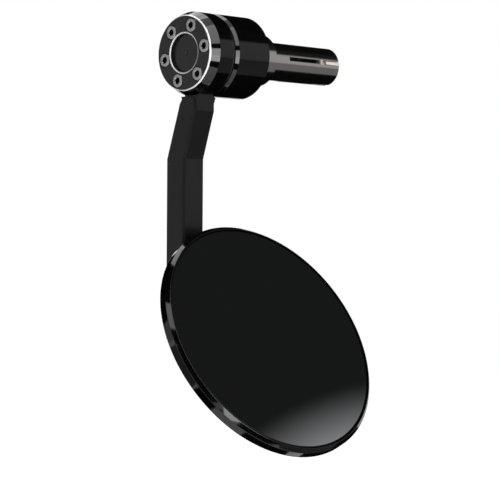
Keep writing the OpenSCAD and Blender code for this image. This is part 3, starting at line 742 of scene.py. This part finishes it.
# Camera: a long lens, level with the mirror, behind the handlebar's end and to its left.
# Its place, lens and slight lean were fitted to the photo's outlines.
IMAGE_SIZE = 500
FOCAL_PIXELS = 1967.07
SENSOR = 36.0
CAMERA_SPOT = (-0.579056, -0.567859, -0.077348)
CAMERA_AZIMUTH = math.radians(-45.351)
CAMERA_ELEVATION = math.radians(0.055)
CAMERA_ROLL = math.radians(0.356)
across = Vector((math.cos(CAMERA_AZIMUTH), math.sin(CAMERA_AZIMUTH), 0))
above = Vector((-math.sin(CAMERA_AZIMUTH) * math.sin(CAMERA_ELEVATION),
                math.cos(CAMERA_AZIMUTH) * math.sin(CAMERA_ELEVATION), math.cos(CAMERA_ELEVATION)))
camera_data = bpy.data.cameras.new("camera")
camera_data.sensor_width = SENSOR
camera_data.lens = FOCAL_PIXELS * SENSOR / IMAGE_SIZE
camera = bpy.data.objects.new("camera", camera_data)
bpy.context.scene.collection.objects.link(camera)
camera_place = Matrix((across * math.cos(CAMERA_ROLL) + above * math.sin(CAMERA_ROLL),
                       above * math.cos(CAMERA_ROLL) - across * math.sin(CAMERA_ROLL),
                       across.cross(above))).transposed().to_4x4()
camera_place.translation = CAMERA_SPOT
camera.matrix_world = camera_place
bpy.context.scene.camera = camera

# Studio floor and world: a pale diffuse ground that keeps the object's shadow, under an even pale light.
# Both are lifted towards white where the camera, gloss or glass sees them.
FLOOR_DROP = 0.28
FLOOR_SIZE = 8
FLOOR_COLOUR = 0.6
GLOW_NEAR = 0.45
GLOW_FAR = 0.8
NEAR_EDGE = 0.4
FAR_EDGE = 1.2
WORLD_LIGHT = 0.45
WHITE_SEEN = 1.0
scene = bpy.context.scene
scene.view_settings.view_transform = "Standard"


def seen_directly(tree):
    """1 for a ray of the camera, of gloss or of glass, else 0."""
    rays = tree.nodes.new("ShaderNodeLightPath")
    first = tree.nodes.new("ShaderNodeMath")
    first.operation = "MAXIMUM"
    tree.links.new(rays.outputs["Is Camera Ray"], first.inputs[0])
    tree.links.new(rays.outputs["Is Glossy Ray"], first.inputs[1])
    second = tree.nodes.new("ShaderNodeMath")
    second.operation = "MAXIMUM"
    tree.links.new(first.outputs["Value"], second.inputs[0])
    tree.links.new(rays.outputs["Is Transmission Ray"], second.inputs[1])
    return second.outputs["Value"]


def pale_ground(name):
    """A pale diffuse ground, which glows where it is seen directly, and more so far from the object."""
    material = bpy.data.materials.new(name)
    material.use_nodes = True
    tree = material.node_tree
    tree.nodes.clear()
    out = tree.nodes.new("ShaderNodeOutputMaterial")
    diffuse = tree.nodes.new("ShaderNodeBsdfDiffuse")
    diffuse.inputs["Color"].default_value = (FLOOR_COLOUR, FLOOR_COLOUR, FLOOR_COLOUR, 1)
    strength = tree.nodes.new("ShaderNodeMath")
    strength.operation = "MULTIPLY"
    tree.links.new(seen_directly(tree), strength.inputs[0])
    spot = tree.nodes.new("ShaderNodeTexCoord")
    distance = tree.nodes.new("ShaderNodeVectorMath")
    distance.operation = "LENGTH"
    tree.links.new(spot.outputs["Object"], distance.inputs[0])
    rise = tree.nodes.new("ShaderNodeMapRange")
    rise.inputs["From Min"].default_value = NEAR_EDGE
    rise.inputs["From Max"].default_value = FAR_EDGE
    rise.inputs["To Min"].default_value = GLOW_NEAR
    rise.inputs["To Max"].default_value = GLOW_FAR
    tree.links.new(distance.outputs["Value"], rise.inputs["Value"])
    tree.links.new(rise.outputs["Result"], strength.inputs[1])
    glow = tree.nodes.new("ShaderNodeEmission")
    tree.links.new(strength.outputs["Value"], glow.inputs["Strength"])
    both = tree.nodes.new("ShaderNodeAddShader")
    tree.links.new(glow.outputs["Emission"], both.inputs[0])
    tree.links.new(diffuse.outputs["BSDF"], both.inputs[1])
    tree.links.new(both.outputs["Shader"], out.inputs["Surface"])
    return material


def panel(name, centre, size, material):
    """A flat level card."""
    shape = bmesh.new()
    bmesh.ops.create_grid(shape, x_segments=1, y_segments=1, size=0.5)
    bmesh.ops.scale(shape, vec=(*size, 1), verts=shape.verts)
    bmesh.ops.translate(shape, vec=centre, verts=shape.verts)
    card = piece_from(shape, name)
    card.data.materials.append(material)
    return card


floor_level = cad_box[0].z - FLOOR_DROP
panel("floor", (0, 0, floor_level), (FLOOR_SIZE, FLOOR_SIZE), pale_ground("floor_pale"))
world = bpy.data.worlds.new("studio")
world.use_nodes = True
scene.world = world
world_tree = world.node_tree
light_level = world_tree.nodes.new("ShaderNodeMapRange")
light_level.inputs["To Min"].default_value = WORLD_LIGHT
light_level.inputs["To Max"].default_value = WHITE_SEEN
world_tree.links.new(seen_directly(world_tree), light_level.inputs["Value"])
background = world_tree.nodes["Background"]
background.inputs["Color"].default_value = (1, 1, 1, 1)
world_tree.links.new(light_level.outputs["Result"], background.inputs["Strength"])

# Cards, flags and mats: cards bent round the object and mats on the floor, which only gloss sees. Black
# flags stand where the metal is to look black, and grey cards give it its bands. The slanted fade of
# grey_right is seen as the gradient on the glass.
STUDIO_MIDDLE = Vector((-0.03, 0, -0.06))
CARD_STEPS = 24
FLAG_DISTANCE = 2.4
CARD_DISTANCE = 2.2
MAT_LIFT = 3.0 * MILLIMETRE
PATCH_LIFT = 6.0 * MILLIMETRE
BLACK = 0.003
UP = (0, 0, 1)
GREY_RISE = (-0.712, 0.701, 0.04)
GREY_FADE = (-0.8736, -0.8168)


def card_glow(name, rise, start, end, strengths):
    """Glow that changes softly along a direction, between two distances from the origin."""
    material = bpy.data.materials.new(name)
    material.use_nodes = True
    tree = material.node_tree
    tree.nodes.clear()
    out = tree.nodes.new("ShaderNodeOutputMaterial")
    glow = tree.nodes.new("ShaderNodeEmission")
    spot = tree.nodes.new("ShaderNodeTexCoord")
    along = tree.nodes.new("ShaderNodeVectorMath")
    along.operation = "DOT_PRODUCT"
    along.inputs[1].default_value = rise
    tree.links.new(spot.outputs["Object"], along.inputs[0])
    fade = tree.nodes.new("ShaderNodeMapRange")
    fade.interpolation_type = "SMOOTHSTEP"
    fade.inputs["From Min"].default_value = start
    fade.inputs["From Max"].default_value = end
    fade.inputs["To Min"].default_value = strengths[0]
    fade.inputs["To Max"].default_value = strengths[1]
    tree.links.new(along.outputs["Value"], fade.inputs["Value"])
    tree.links.new(fade.outputs["Result"], glow.inputs["Strength"])
    tree.links.new(glow.outputs["Emission"], out.inputs["Surface"])
    return material


def only_for_gloss(card):
    """Hides a card from everything but reflections."""
    card.visible_camera = False
    card.visible_diffuse = False
    card.visible_shadow = False
    card.visible_transmission = False


def curved_card(name, azimuths, elevations, distance, strengths, rise=UP, fade=None):
    """A card bent round the object between two azimuths and two elevations, in degrees.

    Its glow changes along rise, between two shares of the distance."""
    first, last = (math.radians(angle) for angle in azimuths)
    low, high = (math.radians(angle) for angle in elevations)
    shape = bmesh.new()
    start = shape.verts.new((distance * math.cos(low), 0, distance * math.sin(low)))
    bmesh.ops.spin(shape, geom=[start], cent=(0, 0, 0), axis=(0, -1, 0), angle=high - low,
                   steps=CARD_STEPS)
    bmesh.ops.rotate(shape, cent=(0, 0, 0), matrix=Matrix.Rotation(first, 3, "Z"), verts=shape.verts)
    bmesh.ops.spin(shape, geom=shape.verts[:] + shape.edges[:], cent=(0, 0, 0), axis=(0, 0, 1),
                   angle=last - first, steps=CARD_STEPS)
    bmesh.ops.translate(shape, vec=STUDIO_MIDDLE, verts=shape.verts)
    card = piece_from(shape, name)
    foot = STUDIO_MIDDLE.dot(rise)
    fade_start, fade_end = fade or (math.sin(low), math.sin(high))
    glow = card_glow(name + "_glow", rise, foot + distance * fade_start, foot + distance * fade_end,
                     strengths)
    card.data.materials.append(glow)
    only_for_gloss(card)


def floor_mat(name, centre, size, strength, lift=MAT_LIFT):
    """A mat just above the floor, which only gloss sees."""
    glow = card_glow(name + "_glow", UP, 0, 1, (strength, strength))
    only_for_gloss(panel(name, (*centre, floor_level + lift), size, glow))


for name, azimuths, elevations in (("flag_right", (-85, 22), (-3, 70)),
                                   ("flag_far_right", (22, 60), (12, 70)),
                                   ("flag_beyond", (60, 120), (-3, 84)),
                                   ("flag_rear", (-150, -85), (-3, 84)),
                                   ("flag_top_left", (120, 210), (34, 88))):
    curved_card(name, azimuths, elevations, FLAG_DISTANCE, (BLACK, BLACK))
curved_card("grey_right", (-75, -15), (-2, 52), CARD_DISTANCE, (0.46, 0.012), GREY_RISE, GREY_FADE)
curved_card("grey_foot", (-75, -5), (-8, -2), CARD_DISTANCE, (0.12, 0.46))
curved_card("grey_left", (120, 165), (-3, 34), CARD_DISTANCE, (0.52, 0.42))
floor_mat("dark_mat", (0.795, 0.43), (1.41, 1.54), BLACK)
floor_mat("dark_mat_under", (-0.005, 0.19), (0.19, 0.42), BLACK)
floor_mat("dark_mat_left", (-0.36, 0.185), (0.18, 0.33), BLACK)
floor_mat("dark_mat_front", (-0.1, -0.915), (0.6, 0.61), BLACK)
floor_mat("dark_mat_near", (-1.7, -1.5), (2.4, 2.3), 0.1)
floor_mat("grey_mat_right", (2.3, -2.17), (4.4, 3.66), 0.2)
floor_mat("grey_mat_left", (-1.95, 1.7), (3.0, 2.9), 0.18)
floor_mat("pale_patch", (0.16, 0.034), (0.09, 0.08), 1.2, PATCH_LIFT)

# Lamps: a low strip to the rear and three soft boxes overhead, each turned to face the middle of the object.
# Gloss shows them as bright streaks.
OVERHEAD = 1.5


def softbox(name, direction, distance, width, height, radiance):
    """A soft lamp that faces the middle of the object."""
    data = bpy.data.lights.new(name, "AREA")
    data.shape = "RECTANGLE"
    data.size = width
    data.size_y = height
    data.energy = radiance * math.pi * width * height
    lamp = bpy.data.objects.new(name, data)
    scene.collection.objects.link(lamp)
    back = Vector(direction).normalized()
    lamp.matrix_world = (Matrix.Translation(STUDIO_MIDDLE + back * distance)
                         @ back.to_track_quat("Z", "Y").to_matrix().to_4x4())


softbox("rear_strip", (-0.14, -1, -0.025), 1.0, width=0.72, height=0.56, radiance=5.5)
softbox("high_box", (0, -0.66, 0.75), OVERHEAD, width=0.6, height=1.3, radiance=3)
softbox("far_box", (0.24, 0.45, 0.86), OVERHEAD, width=0.5, height=1.1, radiance=2.6)
softbox("left_box", (-0.589, -0.18, 0.788), OVERHEAD, width=0.45, height=0.45, radiance=2.2)
